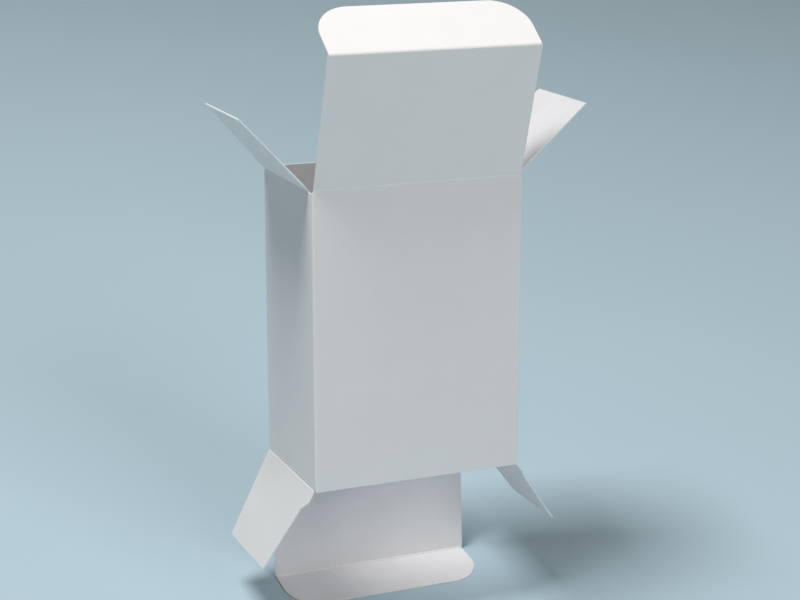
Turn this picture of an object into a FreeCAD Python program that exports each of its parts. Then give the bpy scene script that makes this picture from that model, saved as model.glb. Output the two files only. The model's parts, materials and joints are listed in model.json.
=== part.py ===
import FreeCAD, Part
import math
import os

from FreeCAD import Placement, Rotation, Vector

# A plain folding carton of one creased board: a four-panel sleeve that flattens, a lid and a
# bottom closure with tuck tongues at opposite panels (reverse tuck), and four dust flaps.
# Lengths in millimetres, angles in degrees.
#
# The carton frame: X along the front panel, Y from front to back, Z up the sleeve. Its zero is
# the outer corner of front and left panels, at the height of the bottom creases. The part's own
# frame leans the sleeve back by LEAN, with the floor at Z = 0.

# The board and the sleeve.
WIDTH = 64.0                 # front and back panels
DEPTH = 41.5                 # side panels
HEIGHT = 88.0                # from the bottom crease lines to the top crease lines
BOARD = 0.46                 # thickness
LEAN = 9.0                   # how far the standing sleeve leans back
FOLD_GAP = 0.05              # clearance between two boards that meet at a crease
TUCK_GAP = 0.08              # clearance beside a tongue that is tucked in
FREE_EDGE_DROP = 0.3         # a panel edge with no flap stops this short of the crease line
DUST_DROP = 0.6              # dust flap creases lie this far inside the lid's crease line
TUCK_STOP = 5.0              # a lid stops this short of square, where its tongue meets the wall

# The lid and the bottom closure, with their tongues.
LID_INSET = 0.5              # each side of a lid, from the sleeve's outer side
TONGUE_LENGTH = 18.3
TONGUE_INSET = 0.74          # at its crease
TONGUE_FLARE = 0.9           # how far its sides spread towards the corners
TONGUE_RADIUS = 10.7
LID_TILT = 17.9              # the lid leans forward from straight up
TOP_TONGUE_BEND = 72.3
CLOSURE_TILT = 3.8           # the closure hangs forward from straight down
BOTTOM_TONGUE_BEND = 90.0 - LEAN - CLOSURE_TILT      # flat on the floor

# The dust flaps. The tuck side is the one that a tongue passes when the carton is shut.
DUST_LENGTHS = {"top_left": 29.0, "top_right": 29.0, "bottom_left": 28.2, "bottom_right": 28.2}
SHOULDER_INSET = 2 * BOARD + 2 * TUCK_GAP            # clear of a tucked tongue
SHOULDER_LENGTH = 4.0
NOTCH_INSET = 4.0            # the step beyond the shoulder
NOTCH_RUN = 2.9
TUCK_TAPER_INSET = 8.6       # of the tuck side, at the flap's end
HINGE_INSETS = {             # of the other side, at crease and end
    "top_left": (2.9, 2.9), "top_right": (2.9, 2.9),
    "bottom_left": (0.6, 3.2), "bottom_right": (2.9, 5.5)}
DUST_TILTS = {"top_left": 43.2, "top_right": 48.4, "bottom_left": 28.6, "bottom_right": 36.2}

# The glue flap, on the inner face of the right panel.
GLUE_WIDTH = 12.0
GLUE_TAPER = 3.5             # how much shorter its free edge is, at each end

X, Y, Z = Vector(1, 0, 0), Vector(0, 1, 0), Vector(0, 0, 1)
HALF = BOARD / 2.0
LID_LENGTH = (DEPTH - 2 * BOARD - TUCK_GAP) / math.cos(math.radians(TUCK_STOP))


def turned(vector, axis, degrees):
    return Rotation(axis, degrees).multVec(vector)


def closed_face(edges):
    return Part.Face(Part.Wire(edges))


def polygon(points):
    return closed_face([Part.makeLine(a, b) for a, b in zip(points, points[1:] + points[:1])])


class Leaf:
    """A flat board on a crease: u runs along the crease, v away from it, n out of the box."""

    def __init__(self, origin, along, away):
        self.origin, self.along, self.away = origin, along, away
        self.out = along.cross(away)

    def place(self, shape):
        matrix = FreeCAD.Matrix(
            self.along.x, self.away.x, self.out.x, self.origin.x,
            self.along.y, self.away.y, self.out.y, self.origin.y,
            self.along.z, self.away.z, self.out.z, self.origin.z,
            0, 0, 0, 1)
        placed = shape.copy()
        placed.Placement = Placement(matrix)
        return placed

    def point(self, u, v):
        return self.origin + self.along * u + self.away * v


def creased_board(outline, length, width):
    """A board with the given u-v outline and a round nose on its crease line, v = 0."""
    nose = Part.Arc(Vector(0, 0, -HALF), Vector(0, -HALF, 0), Vector(0, 0, HALF)).toShape()
    far = length + BOARD
    section = closed_face([
        nose,
        Part.makeLine(Vector(0, 0, HALF), Vector(0, far, HALF)),
        Part.makeLine(Vector(0, far, HALF), Vector(0, far, -HALF)),
        Part.makeLine(Vector(0, far, -HALF), Vector(0, 0, -HALF))])
    slab = section.extrude(X * width)
    prism = outline.extrude(Z * (2 * BOARD))
    prism.translate(Z * -BOARD)
    return slab.common(prism).Solids[0]


def lid_outline(end_gap):
    low, high = -BOARD, LID_LENGTH - end_gap
    return polygon([Vector(LID_INSET, low, 0), Vector(WIDTH - LID_INSET, low, 0),
                    Vector(WIDTH - LID_INSET, high, 0), Vector(LID_INSET, high, 0)])


def tongue_outline():
    """Straight flared sides, then an arc to the end edge at each corner."""
    start = TONGUE_INSET + BOARD * math.tan(math.radians(TONGUE_FLARE))
    centre = Vector(*tongue_corner_centre(), 0)
    points = []
    for angle in (180 + TONGUE_FLARE, 135 + TONGUE_FLARE / 2, 90):
        points.append(centre + turned(X, Z, angle) * TONGUE_RADIUS)

    def mirrored(p):
        return Vector(WIDTH - p.x, p.y, 0)

    base = Vector(start, -BOARD, 0)
    side, middle, end = points
    return closed_face([
        Part.makeLine(base, side),
        Part.Arc(side, middle, end).toShape(),
        Part.makeLine(end, mirrored(end)),
        Part.Arc(mirrored(end), mirrored(middle), mirrored(side)).toShape(),
        Part.makeLine(mirrored(side), mirrored(base)),
        Part.makeLine(mirrored(base), base)])


def dust_outline(side):
    """Tuck side at u = 0: shoulder, slanting step, taper. The hinge side is one straight cut."""
    at_crease, at_end = HINGE_INSETS[side]
    reach = DUST_LENGTHS[side]
    points = [
        (SHOULDER_INSET, -BOARD),
        (SHOULDER_INSET, SHOULDER_LENGTH),
        (NOTCH_INSET, SHOULDER_LENGTH + NOTCH_RUN),
        (TUCK_TAPER_INSET, reach),
        (DEPTH - at_end, reach),
        (DEPTH - at_crease, 0.0),
        (DEPTH - at_crease, -BOARD)]
    if side.endswith("right"):
        points = [(DEPTH - u, v) for u, v in reversed(points)]
    return polygon([Vector(u, v, 0) for u, v in points])


# The creases, each a point of the fold line and its direction in the carton frame. Turning by
# the right-hand rule about the direction opens a flap outwards, or flattens the sleeve.
LID_CREASE = Vector(0, HALF, HEIGHT)
CLOSURE_CREASE = Vector(0, DEPTH - HALF, 0)

lid = Leaf(LID_CREASE, X, turned(Z, X, LID_TILT))
top_tongue = Leaf(lid.point(0, LID_LENGTH), X, turned(lid.away, X, -TOP_TONGUE_BEND))
closure = Leaf(CLOSURE_CREASE, X, turned(-Z, X, -CLOSURE_TILT))
bottom_tongue = Leaf(
    closure.point(0, LID_LENGTH), X, turned(closure.away, X, -BOTTOM_TONGUE_BEND))

top_height = HEIGHT - DUST_DROP
dust = {
    "top_left": Leaf(Vector(HALF, DEPTH, top_height), -Y,
                     turned(Z, -Y, DUST_TILTS["top_left"])),
    "top_right": Leaf(Vector(WIDTH - HALF, 0, top_height), Y,
                      turned(Z, Y, DUST_TILTS["top_right"])),
    "bottom_left": Leaf(Vector(HALF, 0, DUST_DROP), Y,
                        turned(-Z, Y, DUST_TILTS["bottom_left"])),
    "bottom_right": Leaf(Vector(WIDTH - HALF, DEPTH, DUST_DROP), -Y,
                         turned(-Z, -Y, DUST_TILTS["bottom_right"]))}

HINGES = {
    "front_left_fold": (Vector(0, 0, 0), Z),
    "front_right_fold": (Vector(WIDTH - BOARD, BOARD, 0), Z),
    "back_left_fold": (Vector(BOARD, DEPTH - BOARD, 0), Z),
    "lid_fold": (LID_CREASE, X),
    "top_tongue_fold": (top_tongue.origin, X),
    "closure_fold": (CLOSURE_CREASE, X),
    "bottom_tongue_fold": (bottom_tongue.origin, X)}
for side, leaf in dust.items():
    HINGES["dust_" + side + "_fold"] = (leaf.origin, leaf.along)


def mitred_wall(inner_start, inner_end, outer_start, outer_end, low, high):
    """An upright panel whose ends are mitred from its outer face to its inner face."""
    points = [outer_start, outer_end, inner_end, inner_start]
    face = polygon([Vector(p[0], p[1], low) for p in points])
    return face.extrude(Z * (high - low))


def sleeve():
    """The four walls, mitred at 45 degrees, with half a fold gap taken off each mitre."""
    cut = FOLD_GAP / 2.0
    near, far_x, far_y = BOARD, WIDTH - BOARD, DEPTH - BOARD
    under_crease = HALF + FOLD_GAP
    side_low = DUST_DROP + under_crease
    side_high = HEIGHT - side_low
    return {
        "front_panel": mitred_wall(
            (near + cut, BOARD), (far_x - cut, BOARD), (cut, 0), (WIDTH - cut, 0),
            FREE_EDGE_DROP, HEIGHT - under_crease),
        "back_panel": mitred_wall(
            (near + cut, far_y), (far_x - cut, far_y), (cut, DEPTH), (WIDTH - cut, DEPTH),
            under_crease, HEIGHT - FREE_EDGE_DROP),
        "left_panel": mitred_wall(
            (BOARD, near + cut), (BOARD, far_y - cut), (0, cut), (0, DEPTH - cut),
            side_low, side_high),
        "right_panel": mitred_wall(
            (far_x, near + cut), (far_x, far_y - cut), (WIDTH, cut), (WIDTH, DEPTH - cut),
            side_low, side_high),
        "glue_flap": glue_flap()}


def tongue_corner_centre():
    """Where the arc of a tongue's corner is centred, across and along the tongue."""
    flare = math.radians(TONGUE_FLARE)
    centre_v = TONGUE_LENGTH - TONGUE_RADIUS
    centre_u = TONGUE_INSET - centre_v * math.tan(flare) + TONGUE_RADIUS / math.cos(flare)
    return centre_u, centre_v


def glue_flap_drop():
    """How far below the crease line the glue flap ends.

    A tucked tongue is wider than the room between the glue flap and the left wall until the
    arc of its corner has drawn in past the flap, so the flap ends at that depth.
    """
    centre_u, centre_v = tongue_corner_centre()
    draw_in = min(TONGUE_RADIUS, centre_u - 2 * BOARD - TUCK_GAP)
    depth = centre_v + math.sqrt(TONGUE_RADIUS ** 2 - draw_in ** 2)
    return max(depth - LID_LENGTH * math.sin(math.radians(TUCK_STOP)), 2 * BOARD)


def glue_flap():
    """A strip on the right panel's inner face, up to the back wall, with slanting ends."""
    crease_y = DEPTH - BOARD - FOLD_GAP
    free_y = crease_y - GLUE_WIDTH
    inner_x = WIDTH - 2 * BOARD
    low = glue_flap_drop()
    high = HEIGHT - low
    face = polygon([
        Vector(inner_x, crease_y, low), Vector(inner_x, free_y, low + GLUE_TAPER),
        Vector(inner_x, free_y, high - GLUE_TAPER), Vector(inner_x, crease_y, high)])
    return face.extrude(X * BOARD)


def flaps():
    lid_board = creased_board(lid_outline(HALF + FOLD_GAP), LID_LENGTH, WIDTH)
    tongue_board = creased_board(tongue_outline(), TONGUE_LENGTH, WIDTH)
    nodes = {
        "lid": lid.place(lid_board),
        "top_tongue": top_tongue.place(tongue_board),
        "bottom_closure": closure.place(lid_board),
        "bottom_tongue": bottom_tongue.place(tongue_board)}
    for side, leaf in dust.items():
        board = creased_board(dust_outline(side), DUST_LENGTHS[side], DEPTH)
        nodes["dust_" + side] = leaf.place(board)
    return nodes


def standing(nodes):
    """The placement from the carton frame to the part's frame, found from the leaning solids."""
    lean = Placement(Vector(0, 0, 0), Rotation(X, -LEAN))
    leaning = Part.makeCompound([shape.copy() for shape in nodes.values()])
    leaning.Placement = lean
    box = leaning.optimalBoundingBox(False, False)
    middle = Vector((box.XMin + box.XMax) / 2.0, (box.YMin + box.YMax) / 2.0, box.ZMin)
    return Placement(-middle, Rotation(X, -LEAN))


nodes = {**sleeve(), **flaps()}
stand = standing(nodes)

os.makedirs("parts", exist_ok=True)
for name, shape in nodes.items():
    solid = shape.copy()
    solid.Placement = stand.multiply(shape.Placement)
    if not solid.isValid() or len(solid.Solids) != 1:
        raise ValueError(name + " is not one valid solid")
    solid.exportStep("parts/" + name + ".step")
    print(name, round(solid.Volume, 3))
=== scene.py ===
import json
import math

import bpy
import numpy as np
from bpy.props import FloatProperty, FloatVectorProperty, PointerProperty
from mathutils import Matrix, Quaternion, Vector


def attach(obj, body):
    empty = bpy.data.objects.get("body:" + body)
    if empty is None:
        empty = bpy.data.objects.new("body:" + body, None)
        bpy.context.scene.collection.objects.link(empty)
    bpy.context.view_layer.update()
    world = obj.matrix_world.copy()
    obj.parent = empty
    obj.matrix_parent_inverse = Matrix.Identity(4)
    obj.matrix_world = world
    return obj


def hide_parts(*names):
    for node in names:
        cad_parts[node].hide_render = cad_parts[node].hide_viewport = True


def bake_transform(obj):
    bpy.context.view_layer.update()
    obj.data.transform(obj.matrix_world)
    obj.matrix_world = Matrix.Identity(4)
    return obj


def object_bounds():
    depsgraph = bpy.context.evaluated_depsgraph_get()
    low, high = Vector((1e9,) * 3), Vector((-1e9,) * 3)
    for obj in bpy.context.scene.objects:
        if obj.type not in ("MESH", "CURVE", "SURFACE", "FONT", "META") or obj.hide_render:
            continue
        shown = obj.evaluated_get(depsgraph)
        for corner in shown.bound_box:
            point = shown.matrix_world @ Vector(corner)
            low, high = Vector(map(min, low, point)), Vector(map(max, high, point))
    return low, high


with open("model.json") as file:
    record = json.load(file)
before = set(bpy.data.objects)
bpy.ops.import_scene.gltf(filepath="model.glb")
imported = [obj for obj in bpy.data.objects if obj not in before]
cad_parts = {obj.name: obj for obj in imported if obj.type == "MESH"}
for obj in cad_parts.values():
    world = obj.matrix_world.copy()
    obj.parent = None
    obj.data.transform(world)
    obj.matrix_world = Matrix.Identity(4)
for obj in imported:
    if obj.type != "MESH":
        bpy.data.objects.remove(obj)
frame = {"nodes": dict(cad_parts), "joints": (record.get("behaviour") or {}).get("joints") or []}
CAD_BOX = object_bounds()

bl_info = {
    "name": "Folding Carton",
    "version": (1, 0, 0),
    "blender": (4, 5, 0),
    "location": "3D View > Sidebar > Carton",
    "description": "An open folding carton of creased board with tuck lids and dust flaps",
    "category": "Mesh",
}

MM = 0.001

# ---------------------------------------------------------------------------------------------
# The carton's own axes and sizes, read from the frame. X runs along the front, Y from front to
# back and Z up the sleeve, from the outer corner of front and left walls at the bottom creases.
# ---------------------------------------------------------------------------------------------

JOINTS = {joint["name"]: joint for joint in frame["joints"]}
ORIGIN = np.array(JOINTS["front_left_fold"]["pos_m"])
X = np.array([1.0, 0.0, 0.0])
Y = np.array([0.0, 1.0, 0.0])
Z = np.array([0.0, 0.0, 1.0])
PART_X = np.array(JOINTS["lid_fold"]["axis"])
PART_Z = np.array(JOINTS["front_left_fold"]["axis"])
AXES = np.array([PART_X, np.cross(PART_Z, PART_X), PART_Z])


def to_part(points):
    """Carton coordinates to the part's frame: the origin plus each coordinate times its axis."""
    return ORIGIN + np.asarray(points) @ AXES


def hinge_point(joint):
    """A joint's place in carton coordinates: its offset from the origin, along each axis."""
    return AXES @ (np.array(JOINTS[joint]["pos_m"]) - ORIGIN)


def upper_limit(joint):
    """A joint's upper limit, in radians."""
    return math.radians(JOINTS[joint]["range_deg"][1])


def node_span(node, direction):
    """How far a node reaches along a carton direction: least and greatest dot product."""
    mesh = frame["nodes"][node].data
    points = np.empty(len(mesh.vertices) * 3, np.float32)
    mesh.vertices.foreach_get("co", points)
    reach = (points.reshape(-1, 3) - ORIGIN) @ AXES.T @ direction
    return float(reach.min()), float(reach.max())


def turned(vector, axis, angle):
    """A vector square to a unit axis, turned about it: cosine part plus sine part."""
    return vector * math.cos(angle) + np.cross(axis, vector) * math.sin(angle)


# The glue flap lies square to X, so its reach along X is the board's thickness.
GLUE_SPAN = node_span("glue_flap", X)
BOARD = GLUE_SPAN[1] - GLUE_SPAN[0]
HALF = BOARD / 2
WIDTH = hinge_point("front_right_fold")[0] + BOARD
DEPTH = hinge_point("closure_fold")[1] + HALF
HEIGHT = hinge_point("lid_fold")[2]
LID_LENGTH = float(np.linalg.norm(hinge_point("top_tongue_fold") - hinge_point("lid_fold")))
DUST_DROP = HEIGHT - hinge_point("dust_top_left_fold")[2]
LID_INSET = node_span("lid", X)[0]
FRONT_LOW = node_span("front_panel", Z)[0]
FRONT_HIGH = node_span("front_panel", Z)[1]
BACK_LOW = node_span("back_panel", Z)[0]
BACK_HIGH = node_span("back_panel", Z)[1]
SIDE_LOW = node_span("left_panel", Z)[0]
SIDE_HIGH = node_span("left_panel", Z)[1]

LID_AWAY = turned(Z, X, math.pi / 2 - upper_limit("lid_fold"))
TOP_TONGUE_AWAY = turned(LID_AWAY, X, -upper_limit("top_tongue_fold"))
CLOSURE_AWAY = turned(-Z, X, math.pi / 2 - upper_limit("closure_fold"))
BOTTOM_TONGUE_AWAY = turned(CLOSURE_AWAY, X, -upper_limit("bottom_tongue_fold"))


# ---------------------------------------------------------------------------------------------
# What a user would change.
# ---------------------------------------------------------------------------------------------


def length(name, description, default):
    """A length in metres, shown in the scene's unit."""
    return FloatProperty(
        name=name, description=description, default=default, min=0.0, unit="LENGTH",
        subtype="DISTANCE", precision=5)


def angle(name, description, degrees):
    """An angle, kept in radians and shown in degrees."""
    return FloatProperty(
        name=name, description=description, default=math.radians(degrees), unit="ROTATION",
        subtype="ANGLE")


def amount(name, description, default, top=1.0):
    """A plain number from 0 up to its top."""
    return FloatProperty(
        name=name, description=description, default=default, min=0.0, max=top, precision=3)


def colour(name, description, default):
    """A linear colour."""
    return FloatVectorProperty(
        name=name, description=description, default=default, size=3, min=0.0, max=1.0,
        subtype="COLOR")


class CartonCreases(bpy.types.PropertyGroup):
    """How the board is scored and folded."""

    strip: length("Strip", "Part of the wall that a flap's piece takes along", 1.2 * MM)
    bend_strip: length("Bend strip", "Board on each side of a crease that bends with it", 0.8 * MM)
    corner_round: length("Corner rounding", "Tangent length of the sleeve's corners", 0.42 * MM)
    flap_round: length("Flap rounding", "Tangent length of the flaps' creases", 0.32 * MM)
    tongue_round: length("Tongue rounding", "Tangent length of the tongues' creases", 0.6 * MM)
    groove: length("Score groove", "Depth of the score line on the outer face", 0.12 * MM)
    bead: length("Score bead", "Height of the ridge inside an inward fold", 0.2 * MM)
    score_width: length("Score width", "Width of groove and ridge, as a deviation", 0.21 * MM)
    score_gap: length("Score gap", "From the score line to the lines beside it", 0.62 * MM)
    rim: length("Cut rim", "How much the cut edges are broken", 0.06 * MM)


class CartonFlaps(bpy.types.PropertyGroup):
    """Outlines of tongues, dust flaps and glue flap."""

    tongue_inset: length("Tongue inset", "At its crease, from the sleeve's side", 0.74 * MM)
    tongue_flare: angle("Tongue flare", "How far its sides spread", 0.9)
    tongue_radius: length("Tongue radius", "Round corners of a tongue", 10.7 * MM)
    shoulder_inset: length("Shoulder inset", "Dust flap's tuck side at the crease", 1.08 * MM)
    shoulder: length("Shoulder", "Length of its square shoulder", 4.0 * MM)
    notch_inset: length("Notch inset", "The slanting step beyond the shoulder", 4.0 * MM)
    notch_run: length("Notch run", "Length of the slanting step", 2.9 * MM)
    taper_inset: length("Taper inset", "The tuck side at the flap's end", 8.6 * MM)
    top_side: length("Top flap side", "A top dust flap's other side", 2.9 * MM)
    left_side: length("Bottom left side", "The bottom left flap's other side", 0.6 * MM)
    right_side: length("Bottom right side", "The bottom right flap's other side", 2.9 * MM)
    side_taper: length("Bottom side taper", "How far those sides draw in", 2.6 * MM)
    glue_taper: length("Glue flap taper", "How much its free edge is cut back", 3.5 * MM)


class CartonFinish(bpy.types.PropertyGroup):
    """Colour and feel of the board."""

    outside: colour("Outside", "Clay-coated outer face", (0.855, 0.84, 0.828))
    inside: colour("Inside", "Uncoated inner face", (0.83, 0.815, 0.825))
    core: colour("Core", "Cut edge of the board", (0.88, 0.865, 0.85))
    coated: amount("Coated roughness", "Roughness of the outer face", 0.74)
    uncoated: amount("Uncoated roughness", "Roughness of the inner face", 0.86)
    mottle: amount("Mottling", "Cloudy change of tone in the fibres", 0.035)
    # How much lighter the colour is made along the creases.
    crease_lightening: amount("Crease lightening", "How much lighter the creases are worn", 0.12)
    grain: length("Grain", "Relief of the fibres", 0.006 * MM)


class CartonStage(bpy.types.PropertyGroup):
    """Floor, lamps and camera."""

    floor: colour("Floor", "Colour of the floor", (0.47, 0.61, 0.68))
    top_power: amount("Top lamp", "Power of the lamp overhead, in watts", 12.3, 100.0)
    front_power: amount("Front lamp", "Power of the lamp in front, in watts", 5.9, 100.0)
    sky: amount("Sky", "Strength of the even light all round", 0.16)
    camera_right: FloatProperty(
        name="Camera across", description="From the origin corner, along X",
        default=-174.3906 * MM, unit="LENGTH")
    camera_back: FloatProperty(
        name="Camera depth", description="From the origin corner, along Y",
        default=-447.8054 * MM, unit="LENGTH")
    camera_up: FloatProperty(
        name="Camera height", description="From the origin corner, along Z",
        default=266.1385 * MM, unit="LENGTH")
    azimuth: angle("Azimuth", "Where the camera looks, from +Y towards +X", 23.715)
    drop: angle("Drop", "How far it looks down", 23.060)
    roll: angle("Roll", "How far its right side is raised", 3.726)
    focal: FloatProperty(
        name="Focal length", description="Millimetres on a 36 mm sensor", default=86.223)


# ---------------------------------------------------------------------------------------------
# Board: a closed sheet that follows a folded line.
# ---------------------------------------------------------------------------------------------


class FoldedLine:
    """The centre line of a board across its creases, with s = 0 at the origin.

    Straight runs joined by arcs. At each bend the line leaves its run a tangent length before
    the corner, follows a circle of radius tangent / tan(angle / 2), and joins the next run the
    same distance after it. A bend is (s of its corner, angle, tangent length), and a positive
    angle folds the board outwards. The outward normal is the crease direction crossed with the
    direction of travel.
    """

    def __init__(self, origin, travel, along, bends):
        self.origin, self.travel, self.along = np.asarray(origin), travel, along
        self.normal, self.bends = np.cross(along, travel), bends

    def heading(self, turn):
        """Travel turned: cosine times the first direction plus sine times the first normal."""
        turn = np.asarray(turn)[..., None]
        return np.cos(turn) * self.travel + np.sin(turn) * self.normal

    def outward(self, turn):
        """Normal turned: cosine times the first normal less sine times the first direction."""
        turn = np.asarray(turn)[..., None]
        return np.cos(turn) * self.normal - np.sin(turn) * self.travel

    def at(self, s):
        """Points and outward normals of the line at the distances s."""
        place = self.origin + s[:, None] * self.travel
        turn = np.zeros_like(s)
        corner, last, heading = self.origin, 0.0, 0.0
        for where, bend, tangent in self.bends:
            before, side = self.heading(heading), self.outward(heading)
            corner = corner + before * (where - last)
            radius = tangent / math.tan(abs(bend) / 2)
            share = np.clip((s - where + tangent) / (2 * tangent), 0, 1)
            swing = (share * abs(bend))[:, None]
            rise = (1 - np.cos(swing)) * math.copysign(radius, bend)
            arc = corner - before * tangent + np.sin(swing) * radius * before + rise * side
            heading += bend
            run = corner + (s - where)[:, None] * self.heading(heading)
            place = np.where(share[:, None] > 0, arc, place)
            place = np.where(share[:, None] < 1, place, run)
            turn = turn + share * bend
            last = where
        return place, self.outward(turn)


TINY = 1e-9                  # shares and metres that differ by less are the same
NEARLY_STRAIGHT = 0.999      # cosine of a turn too slight to need its own shift
ROW_DIGITS = 8               # decimals of a metre to which rows are told apart
ROW_SPACING = 3 * MM         # between the rows of a flat stretch
SCORE_REACH = 1.15 * MM      # how far on each side of a crease the rows stand close
SCORE_ROWS = 27              # close rows at each crease
SHARP_EDGE = math.radians(38)


def offset_ring(points, distances):
    """A closed ring of (s, u) points moved outwards, each edge by its own distance.

    At each point the shift v satisfies v . n1 = d1 and v . n2 = d2 for the outward normals of
    the edges on its two sides. The ring runs so that outwards is the left of its direction.
    """
    ahead = np.roll(points, -1, axis=0) - points
    ahead = ahead / np.linalg.norm(ahead, axis=1)[:, None]
    n2 = np.stack([-ahead[:, 1], ahead[:, 0]], axis=1)
    n1 = np.roll(n2, 1, axis=0)
    d2, d1 = distances, np.roll(distances, 1)
    c = (n1 * n2).sum(1)
    even = ((d1 + d2) / 2 / (1 + c))[:, None] * (n1 + n2)
    spread = np.maximum(1 - c * c, TINY)[:, None]
    uneven = ((d1 - c * d2)[:, None] * n1 + (d2 - c * d1)[:, None] * n2) / spread
    same = (np.abs(d1 - d2) < TINY) | (c > NEARLY_STRAIGHT)
    return points + np.where(same[:, None], even, uneven)


def chain_rims(chain, s):
    """The rim share of the chain's edge that each distance s falls on."""
    edge = np.clip(np.searchsorted(chain[:, 0], s) - 1, 0, len(chain) - 2)
    return chain[edge, 2]


def board_rows(low, high, ends, rim, fine):
    """The (s, u) grid of a board's face, a rim's width inside its outline.

    low and high are chains of (s, u, rim share) with s rising, and together with the straight
    edges at both ends they make the outline. Rows stand at every corner of the outline, at an
    even spacing, and at the fine distances, and each row runs evenly from chain to chain.
    """
    ring = np.concatenate([high[:, :2], low[::-1, :2]])
    shares = np.concatenate([high[:-1, 2], [ends[1]], low[:-1, 2][::-1], [ends[0]]])
    inner = offset_ring(ring, -rim * shares)
    high_in, low_in = inner[:len(high)], inner[len(high):][::-1]
    first, last = high_in[0, 0], high_in[-1, 0]
    even = np.linspace(first, last, max(2, int(round((last - first) / ROW_SPACING)) + 1))
    rows = np.concatenate([high_in[:, 0], low_in[:, 0], even, fine])
    inside = (rows >= first - TINY) & (rows <= last + TINY)
    rows = np.unique(np.round(rows[inside], ROW_DIGITS))
    u_low = np.interp(rows, low_in[:, 0], low_in[:, 1])
    u_high = np.interp(rows, high_in[:, 0], high_in[:, 1])
    count = max(3, int(round((u_high - u_low).max() / ROW_SPACING)) + 1)
    across = np.linspace(0, 1, count)
    u = u_low[:, None] + (u_high - u_low)[:, None] * across
    return np.stack([np.broadcast_to(rows[:, None], u.shape), u], axis=2)


def board_ring(grid, low, high, ends, rim):
    """The outline of the grid in order, its indices, and the same outline a rim further out."""
    rows, columns = grid.shape[:2]
    index = np.arange(rows * columns).reshape(rows, columns)
    parts = [index[0, :-1], index[:-1, -1], index[-1, :0:-1], index[:0:-1, 0]]
    ring = np.concatenate(parts)
    points = grid.reshape(-1, 2)[ring]
    middles = (grid[:-1, 0, 0] + grid[1:, 0, 0]) / 2
    shares = np.concatenate([
        np.full(columns - 1, ends[0]), chain_rims(high, middles),
        np.full(columns - 1, ends[1]), chain_rims(low, middles)[::-1]])
    return ring, offset_ring(points, rim * shares)


def strip_quads(upper, lower):
    """Quads between two closed rings of indices: each pair of neighbours joined downwards."""
    return np.stack([upper, lower, np.roll(lower, -1), np.roll(upper, -1)], axis=1)


def board_piece(name, line, low, high, ends=(1, 1)):
    """A closed board: outer face, broken rim, cut edge, broken rim and inner face.

    A point (s, u) of the outline lies at line(s) + u * crease direction + n * normal. n is half
    the thickness on the outer face, less a groove depth * exp(-(s - crease)^2 / 2 width^2), and
    minus half on the inner face, with a ridge of the same form. On both sides of a groove the
    board swells and on both sides of a ridge it sinks, by half as much. A bend pulls its groove
    flat, to twice the bend's cosine less one. An inward bend squeezes its ridge to four times
    the cosine, at most in full, and an outward bend stretches it to a third.
    """
    creases = bpy.context.scene.carton_creases
    low, high = np.array(low, float), np.array(high, float)
    bends = np.array([bend[0] for bend in line.bends])
    cosines = np.cos([bend[1] for bend in line.bends])
    inward = np.array([bend[1] < 0 for bend in line.bends], bool)
    grooves = creases.groove * np.maximum(2 * cosines - 1, 0.0)
    ridges = creases.bead * np.where(inward, np.clip(4 * cosines, 0.0, 1.0), 1 / 3)
    steps = np.linspace(-SCORE_REACH, SCORE_REACH, SCORE_ROWS)
    fine = (bends[:, None] + steps).ravel()
    grid = board_rows(low, high, ends, creases.rim, fine)
    ring, outer = board_ring(grid, low, high, ends, creases.rim)
    flat = grid.reshape(-1, 2)

    def relief(s, size, gap):
        """Sum over the creases of size * (bell of the distance - half the bells a gap away)."""
        far = np.abs(s[:, None] - bends)
        middle = np.exp(-(far / creases.score_width) ** 2 / 2)
        beside = np.exp(-((far - gap) / creases.score_width) ** 2 / 2)
        return (size * (middle - beside / 2)).sum(1)

    def place(points, offset):
        """line(s) + u * crease direction + offset * normal"""
        centre, normal = line.at(points[:, 0])
        return centre + points[:, 1:] * line.along + offset[:, None] * normal

    half = np.full(len(flat), HALF)
    edge = np.full(len(outer), HALF - creases.rim)
    top = half - relief(flat[:, 0], grooves, creases.score_gap)
    bottom = -half - relief(flat[:, 0], ridges, creases.score_gap)
    carton = np.concatenate([
        place(flat, top), place(flat, bottom), place(outer, edge), place(outer, -edge)])

    rows, columns = grid.shape[:2]
    index = np.arange(rows * columns).reshape(rows, columns)
    face = np.stack([index[:-1, :-1], index[:-1, 1:], index[1:, 1:], index[1:, :-1]], axis=2)
    face = face.reshape(-1, 4)
    upper = 2 * len(flat) + np.arange(len(outer))
    lower = upper + len(outer)
    bands = [
        face, face[:, ::-1] + len(flat), strip_quads(ring, upper), strip_quads(upper, lower),
        strip_quads(lower, ring + len(flat))]
    quads = np.concatenate(bands)
    material = np.repeat([0, 1, 2, 2, 2], [len(band) for band in bands])

    mesh = bpy.data.meshes.new(name)
    mesh.from_pydata(to_part(carton).tolist(), [], quads.tolist())
    mesh.polygons.foreach_set("material_index", material.astype(np.int32))
    mesh.polygons.foreach_set("use_smooth", np.ones(len(quads), bool))
    rest = mesh.attributes.new("rest", "FLOAT_VECTOR", "POINT")
    rest.data.foreach_set("vector", carton.astype(np.float32).ravel())
    # How near each point is to a crease; the finishes make the colour lighter there.
    tinted = mesh.attributes.new("tinted", "FLOAT", "POINT")
    distances = np.concatenate([flat, flat, outer, outer])[:, 0]
    near = np.exp(-((distances[:, None] - bends) / creases.score_width) ** 2 / 2).sum(1)
    tinted.data.foreach_set("value", near.astype(np.float32))
    mesh.set_sharp_from_angle(angle=SHARP_EDGE)
    for finish in board_finishes():
        mesh.materials.append(finish)
    piece = bpy.data.objects.new(name, mesh)
    bpy.context.scene.collection.objects.link(piece)
    return piece


def bend_with(piece, corner):
    """Bake the piece's transform into its mesh; the piece does not bend across the corner.

    The corner is not used.
    """
    corner = np.asarray(corner)
    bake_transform(piece)


# ---------------------------------------------------------------------------------------------
# Finishes.
# ---------------------------------------------------------------------------------------------


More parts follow.
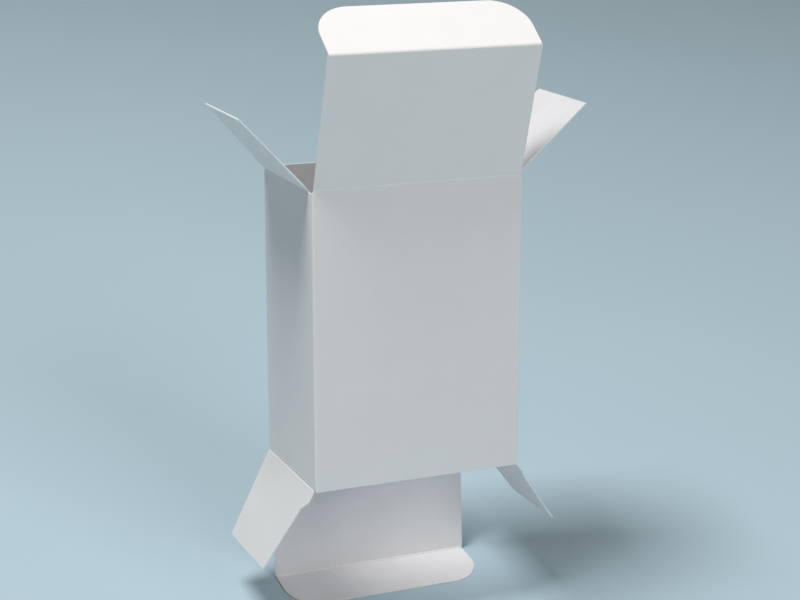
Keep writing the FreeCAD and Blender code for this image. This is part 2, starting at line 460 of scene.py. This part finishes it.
CLOUD_SCALE = 85.0           # cells per metre, so clouds of about a centimetre
FIBRE_SCALE = 1500.0         # and fibres of about two thirds of a millimetre
FIBRE_SHARE = 0.35           # of the tone, the rest being the clouds'
NOISE_LOW, NOISE_HIGH = 0.3, 0.7         # the part of a noise's reach that is used
SHEEN_DRIFT = 0.05           # how far the roughness drifts to each side
BOARD_IOR = 1.45
EVEN_FIBRES = (1.0, 1.0, 1.0)
UPRIGHT_FIBRES = (1.0, 1.0, 0.35)        # drawn out along the sleeve's height
MIX_A, MIX_B, MIX_RESULT = 6, 7, 2       # sockets of a Mix node that mixes colours


def feed(tree, value, socket):
    """A value that is a socket is linked into the other, and any other value is set on it."""
    if isinstance(value, bpy.types.NodeSocket):
        tree.links.new(value, socket)
    else:
        socket.default_value = value


def linked(tree, kind, settings=None, **inputs):
    """A node with its settings and its inputs, which are sockets or values."""
    node = tree.nodes.new(kind)
    for key, value in (settings or {}).items():
        setattr(node, key, value)
    for key, value in inputs.items():
        feed(tree, value, node.inputs[key.replace("_", " ")])
    return node


def colour_mix(tree, share, first, second):
    """The colour first * (1 - share) + second * share."""
    node = linked(tree, "ShaderNodeMix", {"data_type": "RGBA"}, Factor=share)
    feed(tree, first, node.inputs[MIX_A])
    feed(tree, second, node.inputs[MIX_B])
    return node.outputs[MIX_RESULT]


def scaled(tint, factor):
    """A tint times the factor, at most white, with its alpha."""
    return tuple(min(1.0, part * factor) for part in tint) + (1.0,)


def board_finish(name, tint, rough, mottle, crease_lightening, grain, fibre_stretch):
    """Board: cloudy tone, fine fibres, colour lighter along the creases, and a relief of fibres.

    Tone = tint * (1 +- mottle) by soft clouds and fine fibres, then towards tint * (1 + crease
    lightening) by the nearness to the creases times the fibres.
    """
    finish = bpy.data.materials.new(name)
    finish.use_nodes = True
    tree = finish.node_tree
    shader = tree.nodes["Principled BSDF"]
    rest = linked(tree, "ShaderNodeAttribute", {"attribute_name": "rest"}).outputs["Vector"]
    drawn = linked(tree, "ShaderNodeMapping", Vector=rest, Scale=fibre_stretch).outputs["Vector"]
    clouds = linked(
        tree, "ShaderNodeTexNoise", Vector=rest, Scale=CLOUD_SCALE, Detail=3.0,
        Roughness=0.55).outputs["Fac"]
    fibres = linked(
        tree, "ShaderNodeTexNoise", Vector=drawn, Scale=FIBRE_SCALE, Detail=2.0,
        Roughness=0.6).outputs["Fac"]
    both = linked(
        tree, "ShaderNodeMix", {"data_type": "FLOAT"}, Factor=FIBRE_SHARE, A=clouds,
        B=fibres).outputs["Result"]
    tone = linked(
        tree, "ShaderNodeMapRange", Value=both, From_Min=NOISE_LOW,
        From_Max=NOISE_HIGH).outputs["Result"]
    plain = colour_mix(tree, tone, scaled(tint, 1 - mottle), scaled(tint, 1 + mottle))
    # Nearness to the creases, where the colour is made lighter.
    tinted = linked(tree, "ShaderNodeAttribute", {"attribute_name": "tinted"}).outputs["Fac"]
    patchy = linked(tree, "ShaderNodeMath", {"operation": "MULTIPLY", "use_clamp": True})
    feed(tree, tinted, patchy.inputs[0])
    feed(tree, fibres, patchy.inputs[1])
    coat = colour_mix(tree, patchy.outputs[0], plain, scaled(tint, 1 + crease_lightening))
    feed(tree, coat, shader.inputs["Base Color"])
    sheen = linked(
        tree, "ShaderNodeMapRange", Value=clouds, From_Min=NOISE_LOW, From_Max=NOISE_HIGH,
        To_Min=rough - SHEEN_DRIFT, To_Max=rough + SHEEN_DRIFT)
    feed(tree, sheen.outputs["Result"], shader.inputs["Roughness"])
    relief = linked(tree, "ShaderNodeBump", Height=fibres, Strength=1.0, Distance=grain)
    feed(tree, relief.outputs["Normal"], shader.inputs["Normal"])
    shader.inputs["IOR"].default_value = BOARD_IOR
    return finish


def board_finishes():
    """The three finishes of the board, made once: outer face, inner face and cut edge."""
    look = bpy.context.scene.carton_finish
    rows = (
        ("board_outside", look.outside, look.coated, look.mottle / 2, look.crease_lightening, look.grain,
         EVEN_FIBRES),
        ("board_inside", look.inside, look.uncoated, look.mottle, look.crease_lightening / 2,
         look.grain * 2, UPRIGHT_FIBRES),
        ("board_core", look.core, look.uncoated, look.mottle * 2, 0.0, look.grain * 3,
         UPRIGHT_FIBRES))
    return [bpy.data.materials.get(row[0]) or board_finish(*row) for row in rows]


# ---------------------------------------------------------------------------------------------
# The pieces.
# ---------------------------------------------------------------------------------------------

JOG = 0.02 * MM              # half the width that a square step in an outline is drawn with
SEAM, CUT = 0.0, 1.0         # rim share of an edge that continues in the next piece, or is cut
FOLD_IN_GAP = 0.03 * MM      # between the back wall's folded end and the right wall


def stepped(*spans):
    """A chain of level spans (from, to, u, rim share), joined by nearly square cut steps."""
    chain = []
    for number, (start, end, u, share) in enumerate(spans):
        first = start + (JOG if number else 0.0)
        last = end - (JOG if number < len(spans) - 1 else 0.0)
        chain += [(first, u, share), (last, u, CUT)]
    return chain


class CARTON_OT_walls(bpy.types.Operator):
    """Make the four walls of the sleeve, each with the corner that it turns on"""

    bl_idname = "carton.walls"
    bl_label = "Sleeve walls"

    def execute(self, context):
        creases, flaps = context.scene.carton_creases, context.scene.carton_flaps
        strip, turn = creases.strip, (0.0, -math.pi / 2, creases.corner_round)
        near_lid, near_closure = HEIGHT - strip, strip
        near_top, near_bottom = HEIGHT - DUST_DROP - strip, DUST_DROP + strip
        middle = HEIGHT / 2 * Z
        front_left = np.array([HALF, HALF, 0])
        front_right = np.array([WIDTH - HALF, HALF, 0])
        back_left = np.array([HALF, DEPTH - HALF, 0])
        lid_side = LID_INSET - HALF
        shoulder, top_side = flaps.shoulder_inset - HALF, flaps.top_side - HALF
        left_side, right_side = flaps.left_side - HALF, flaps.right_side - HALF
        side_run = DEPTH - BOARD

        front = board_piece(
            "front_wall", FoldedLine(front_right, -X, Z, []),
            [(strip, FRONT_LOW, CUT), (WIDTH - BOARD - strip, FRONT_LOW, CUT)],
            [(strip, near_lid, SEAM), (WIDTH - BOARD - strip, near_lid, SEAM)],
            ends=(SEAM, SEAM))
        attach(front, "front")
        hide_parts("front_panel")

        left = board_piece(
            "left_wall", FoldedLine(front_left, -X, Z, [turn]),
            stepped((-strip, 0, FRONT_LOW, CUT), (0, shoulder, SIDE_LOW, CUT),
                    (shoulder, side_run - strip, near_bottom, SEAM)),
            stepped((-strip, -lid_side, near_lid, SEAM), (-lid_side, 0, FRONT_HIGH, CUT),
                    (0, top_side, SIDE_HIGH, CUT),
                    (top_side, side_run - strip, near_top, SEAM)),
            ends=(SEAM, SEAM))
        bend_with(left, front_left + middle)
        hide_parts("left_panel")

        right = board_piece(
            "right_wall", FoldedLine(front_right, -Y, Z, [turn]),
            stepped((HALF - DEPTH, -side_run + right_side, SIDE_LOW, CUT),
                    (-side_run + right_side, -shoulder, near_bottom, SEAM),
                    (-shoulder, 0, SIDE_LOW, CUT), (0, strip, FRONT_LOW, CUT)),
            stepped((HALF - DEPTH, -side_run + shoulder, SIDE_HIGH, CUT),
                    (-side_run + shoulder, -top_side, near_top, SEAM),
                    (-top_side, 0, SIDE_HIGH, CUT), (0, lid_side, FRONT_HIGH, CUT),
                    (lid_side, strip, near_lid, SEAM)),
            ends=(CUT, SEAM))
        bend_with(right, front_right + middle)
        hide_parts("right_panel")

        fold_in = WIDTH - 2 * BOARD - FOLD_IN_GAP
        glue_low, glue_high = node_span("glue_flap", Z)
        fold_in_turn = (fold_in, -math.pi / 2, HALF)
        back = board_piece(
            "back_wall", FoldedLine(back_left, Y, Z, [turn, fold_in_turn]),
            stepped((-strip, -left_side, near_bottom, SEAM), (-left_side, 0, SIDE_LOW, CUT),
                    (0, lid_side, BACK_LOW, CUT), (lid_side, fold_in, near_closure, SEAM),
                    (fold_in, fold_in + HALF, glue_low, CUT)),
            stepped((-strip, -shoulder, near_top, SEAM), (-shoulder, 0, SIDE_HIGH, CUT),
                    (0, fold_in, BACK_HIGH, CUT), (fold_in, fold_in + HALF, glue_high, CUT)),
            ends=(SEAM, CUT))
        bend_with(back, back_left + middle)
        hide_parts("back_panel")
        return {"FINISHED"}


class CARTON_OT_glue_flap(bpy.types.Operator):
    """Make the strip that holds the sleeve together, inside the right wall"""

    bl_idname = "carton.glue_flap"
    bl_label = "Glue flap"

    def execute(self, context):
        taper = context.scene.carton_flaps.glue_taper
        free_y, crease_y = node_span("glue_flap", Y)
        low, high = node_span("glue_flap", Z)
        width = crease_y - free_y
        origin = np.array([sum(GLUE_SPAN) / 2, crease_y, 0])
        piece = board_piece(
            "glue_strip", FoldedLine(origin, -Y, Z, []),
            [(0, low, CUT), (width, low + taper, CUT)],
            [(0, high, CUT), (width, high - taper, CUT)])
        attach(piece, "right_side")
        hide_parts("glue_flap")
        return {"FINISHED"}


class CARTON_OT_lids(bpy.types.Operator):
    """Make the lid and the bottom closure, each with a strip of the wall it hangs on"""

    bl_idname = "carton.lids"
    bl_label = "Lid and bottom closure"

    def execute(self, context):
        creases = context.scene.carton_creases
        strip, side = creases.strip, WIDTH - LID_INSET
        rows = (
            ("lid_board", "lid", "lid_fold", Z, LID_AWAY, ("front", "lid")),
            ("closure_board", "bottom_closure", "closure_fold", -Z, CLOSURE_AWAY,
             ("back", "closure")))
        for name, node, joint, travel, away, bodies in rows:
            origin = hinge_point(joint)
            bend = fold_angle(travel, away)
            piece = board_piece(
                name, FoldedLine(origin, travel, X, [(0.0, bend, creases.flap_round)]),
                [(-strip, LID_INSET, CUT), (LID_LENGTH - strip, LID_INSET, CUT)],
                [(-strip, side, CUT), (LID_LENGTH - strip, side, CUT)],
                ends=(SEAM, SEAM))
            bend_with(piece, origin)
            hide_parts(node)
        return {"FINISHED"}


def fold_angle(travel, away):
    """The angle from travel to away, positive towards the outer face."""
    normal = np.cross(X, travel)
    return math.atan2(float(away @ normal), float(away @ travel))


ARC_POINTS = 25              # along a tongue's round corner


def tongue_side(flaps, strip, reach):
    """One side of a tongue as (s, u): lid's edge, a small step, a flared side and an arc."""
    radius, flare = flaps.tongue_radius, flaps.tongue_flare
    centre_s = reach - radius
    centre_u = flaps.tongue_inset - centre_s * math.tan(flare) + radius / math.cos(flare)
    swing = np.linspace(math.pi + flare, math.pi / 2, ARC_POINTS)
    arc = np.stack([centre_s + radius * np.sin(swing), centre_u + radius * np.cos(swing)], axis=1)
    start = [(-strip, LID_INSET), (-HALF, LID_INSET), (-HALF + 2 * JOG, flaps.tongue_inset)]
    return np.concatenate([start, arc])


class CARTON_OT_tongues(bpy.types.Operator):
    """Make the two tuck tongues, each with the end strip of its lid"""

    bl_idname = "carton.tongues"
    bl_label = "Tuck tongues"

    def execute(self, context):
        creases, flaps = context.scene.carton_creases, context.scene.carton_flaps
        rows = (
            ("top_tuck", "top_tongue", "top_tongue_fold", LID_AWAY, TOP_TONGUE_AWAY,
             ("lid", "top_tongue")),
            ("bottom_tuck", "bottom_tongue", "bottom_tongue_fold", CLOSURE_AWAY,
             BOTTOM_TONGUE_AWAY, ("closure", "bottom_tongue")))
        for name, node, joint, travel, away, bodies in rows:
            origin = hinge_point(joint)
            reach = node_span(node, away)[1] - float(origin @ away)
            side = tongue_side(flaps, creases.strip, reach)
            rims = np.full((len(side), 1), CUT)
            mirrored = side * (1, -1) + (0, WIDTH)
            bend = fold_angle(travel, away)
            piece = board_piece(
                name, FoldedLine(origin, travel, X, [(0.0, bend, creases.tongue_round)]),
                np.hstack([side, rims]), np.hstack([mirrored, rims]), ends=(SEAM, CUT))
            bend_with(piece, origin)
            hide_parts(node)
        return {"FINISHED"}


class CARTON_OT_dust_flaps(bpy.types.Operator):
    """Make the four dust flaps, each with a strip of its side wall"""

    bl_idname = "carton.dust_flaps"
    bl_label = "Dust flaps"

    def execute(self, context):
        creases, flaps = context.scene.carton_creases, context.scene.carton_flaps
        strip = creases.strip
        for level, wall in ((1, "left"), (1, "right"), (-1, "left"), (-1, "right")):
            place = ("top_" if level > 0 else "bottom_") + wall
            node, joint = "dust_" + place, "dust_" + place + "_fold"
            outwards = 1 if wall == "right" else -1
            along = Y * (level * outwards)
            travel = Z * level
            tilt = math.pi / 2 - upper_limit(joint)
            away = turned(travel, along, tilt)
            origin = hinge_point(joint)
            reach = node_span(node, away)[1] - float(origin @ away)
            at_crease = at_end = flaps.top_side
            if level < 0:
                at_crease = flaps.left_side if wall == "left" else flaps.right_side
                at_end = at_crease + flaps.side_taper
            tuck = np.array([
                (-strip, flaps.shoulder_inset, CUT), (flaps.shoulder, flaps.shoulder_inset, CUT),
                (flaps.shoulder + flaps.notch_run, flaps.notch_inset, CUT),
                (reach, flaps.taper_inset, CUT)])
            plain = np.array([
                (-strip, at_crease, CUT), (0, at_crease, CUT), (reach, at_end, CUT)])
            low, high = (plain, tuck) if wall == "right" else (tuck, plain)
            high = high * (1, -1, 1) + (0, DEPTH, 0)
            piece = board_piece(
                "dust_flap_" + place,
                FoldedLine(origin, travel, along, [(0.0, tilt, creases.flap_round)]),
                low, high, ends=(SEAM, CUT))
            bend_with(piece, origin + along * DEPTH / 2)
            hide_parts(node)
        return {"FINISHED"}


# ---------------------------------------------------------------------------------------------
# Floor, lamps and camera.
# ---------------------------------------------------------------------------------------------

FLOOR_REACH = 6.0            # metres from the middle to each side
FLOOR_DROP = 0.02 * MM       # the floor lies this far below the tongue
FLOOR_ROUGHNESS = 0.8
FLOOR_CLOUDS = 6.0           # cells per metre
FLOOR_MOTTLE = 0.03
TOP_LAMP_PLACE, TOP_LAMP_SIZE = (-0.37, 0.06, 1.28), 0.4
FRONT_LAMP_PLACE, FRONT_LAMP_SIZE = (0.4, -1.1, 0.85), 0.7
WHITE = (1.0, 1.0, 1.0, 1.0)
SENSOR_WIDTH = 36.0          # millimetres
NEAREST, FARTHEST = 0.01, 50.0           # that the camera sees, in metres


def aimed(place, target):
    """The turn that points an object's -Z from its place to the target."""
    return (Vector(target) - Vector(place)).to_track_quat("-Z", "Y")


def lamp(name, place, target, size, power):
    """A square area lamp."""
    data = bpy.data.lights.new(name, "AREA")
    data.shape, data.size, data.energy = "SQUARE", size, power
    item = bpy.data.objects.new(name, data)
    item.location = place
    item.rotation_mode = "QUATERNION"
    item.rotation_quaternion = aimed(place, target)
    bpy.context.scene.collection.objects.link(item)


class CARTON_OT_stage(bpy.types.Operator):
    """Make the floor, the lamps, the even light and the camera"""

    bl_idname = "carton.stage"
    bl_label = "Stage"

    def execute(self, context):
        scene, stage = context.scene, context.scene.carton_stage
        level, reach = CAD_BOX[0].z - FLOOR_DROP, FLOOR_REACH
        corners = [(-reach, -reach, level), (reach, -reach, level), (reach, reach, level),
                   (-reach, reach, level)]
        mesh = bpy.data.meshes.new("floor")
        mesh.from_pydata(corners, [], [(0, 1, 2, 3)])
        paint = bpy.data.materials.new("floor_paint")
        paint.use_nodes = True
        tree = paint.node_tree
        shader = tree.nodes["Principled BSDF"]
        shader.inputs["Roughness"].default_value = FLOOR_ROUGHNESS
        where = linked(tree, "ShaderNodeTexCoord").outputs["Object"]
        clouds = linked(
            tree, "ShaderNodeTexNoise", Vector=where, Scale=FLOOR_CLOUDS,
            Detail=4.0).outputs["Fac"]
        tone = colour_mix(
            tree, clouds, scaled(stage.floor, 1 - FLOOR_MOTTLE),
            scaled(stage.floor, 1 + FLOOR_MOTTLE))
        feed(tree, tone, shader.inputs["Base Color"])
        mesh.materials.append(paint)
        floor = bpy.data.objects.new("floor", mesh)
        scene.collection.objects.link(floor)

        middle = (CAD_BOX[0] + CAD_BOX[1]) / 2
        lamp("top_lamp", TOP_LAMP_PLACE, middle, TOP_LAMP_SIZE, stage.top_power)
        lamp("front_lamp", FRONT_LAMP_PLACE, middle, FRONT_LAMP_SIZE, stage.front_power)

        world = bpy.data.worlds.new("even_light")
        world.use_nodes = True
        background = world.node_tree.nodes["Background"]
        background.inputs["Color"].default_value = WHITE
        background.inputs["Strength"].default_value = stage.sky
        scene.world = world

        data = bpy.data.cameras.new("camera")
        data.lens, data.sensor_width = stage.focal, SENSOR_WIDTH
        data.clip_start, data.clip_end = NEAREST, FARTHEST
        camera = bpy.data.objects.new("camera", data)
        camera.location = Vector(ORIGIN) + Vector(
            (stage.camera_right, stage.camera_back, stage.camera_up))
        look = Vector((math.sin(stage.azimuth) * math.cos(stage.drop),
                       math.cos(stage.azimuth) * math.cos(stage.drop), -math.sin(stage.drop)))
        camera.rotation_mode = "QUATERNION"
        camera.rotation_quaternion = (
            look.to_track_quat("-Z", "Y") @ Quaternion((0, 0, 1), stage.roll))
        scene.collection.objects.link(camera)
        scene.camera = camera
        scene.view_settings.view_transform = "Standard"
        return {"FINISHED"}


class CARTON_PT_panel(bpy.types.Panel):
    """The carton's sizes and the buttons that make its pieces"""

    bl_idname = "CARTON_PT_panel"
    bl_label = "Folding Carton"
    bl_space_type = "VIEW_3D"
    bl_region_type = "UI"
    bl_category = "Carton"

    def draw(self, context):
        for title, group in GROUPS.items():
            settings = getattr(context.scene, title)
            box = self.layout.box()
            box.label(text=group.__doc__)
            for key in group.__annotations__:
                box.prop(settings, key)
        for operator in OPERATORS:
            self.layout.operator(operator.bl_idname)


GROUPS = {
    "carton_creases": CartonCreases,
    "carton_flaps": CartonFlaps,
    "carton_finish": CartonFinish,
    "carton_stage": CartonStage,
}
OPERATORS = (
    CARTON_OT_walls, CARTON_OT_glue_flap, CARTON_OT_lids, CARTON_OT_tongues,
    CARTON_OT_dust_flaps, CARTON_OT_stage)
CLASSES = (*GROUPS.values(), *OPERATORS, CARTON_PT_panel)


def register():
    for item in CLASSES:
        bpy.utils.register_class(item)
    for title, group in GROUPS.items():
        setattr(bpy.types.Scene, title, PointerProperty(type=group))


def unregister():
    for title in GROUPS:
        delattr(bpy.types.Scene, title)
    for item in reversed(CLASSES):
        bpy.utils.unregister_class(item)


def main():
    register()
    bpy.ops.carton.walls()
    bpy.ops.carton.glue_flap()
    bpy.ops.carton.lids()
    bpy.ops.carton.tongues()
    bpy.ops.carton.dust_flaps()
    bpy.ops.carton.stage()


if __name__ == "__main__":
    main()
